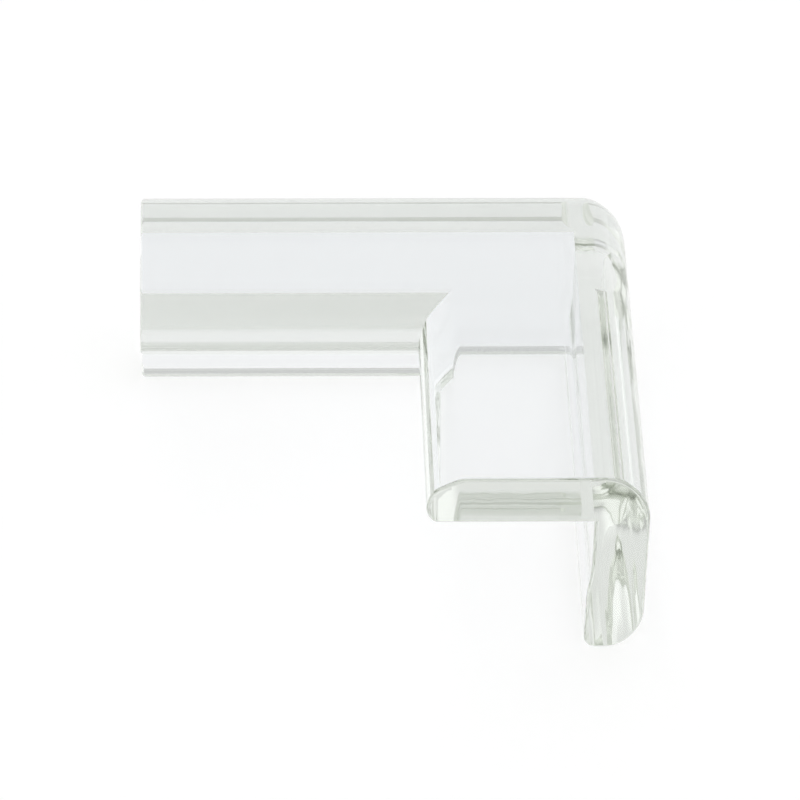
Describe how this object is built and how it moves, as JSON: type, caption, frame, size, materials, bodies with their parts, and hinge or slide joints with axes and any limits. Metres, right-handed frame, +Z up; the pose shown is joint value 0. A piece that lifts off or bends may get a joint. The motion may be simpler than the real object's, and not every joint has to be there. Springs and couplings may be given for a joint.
{
  "type": "corner guard moulding",
  "caption": "Clear plastic guard for the corner of a table top: two arms at a right angle, one slightly the longer, each a flange with a hanging skirt, with oval-nosed free edges and a rolled outer edge.",
  "frame": {"origin": "under the middle of the bounding box, on the floor plane that the skirts' toes stand on", "axes": "+Z up from the toes of the skirts to the flat top of the flanges; +X +Y points to the outer vertical corner, and the arms run from it along -X and along -Y"},
  "size_m": [0.055, 0.051, 0.0251],
  "materials": {
    "clear_plastic": "clear, glossy, smooth as moulded"
  },
  "bodies": {
    "root": {"corner_guard": "clear_plastic"}
  },
  "joints": []
}
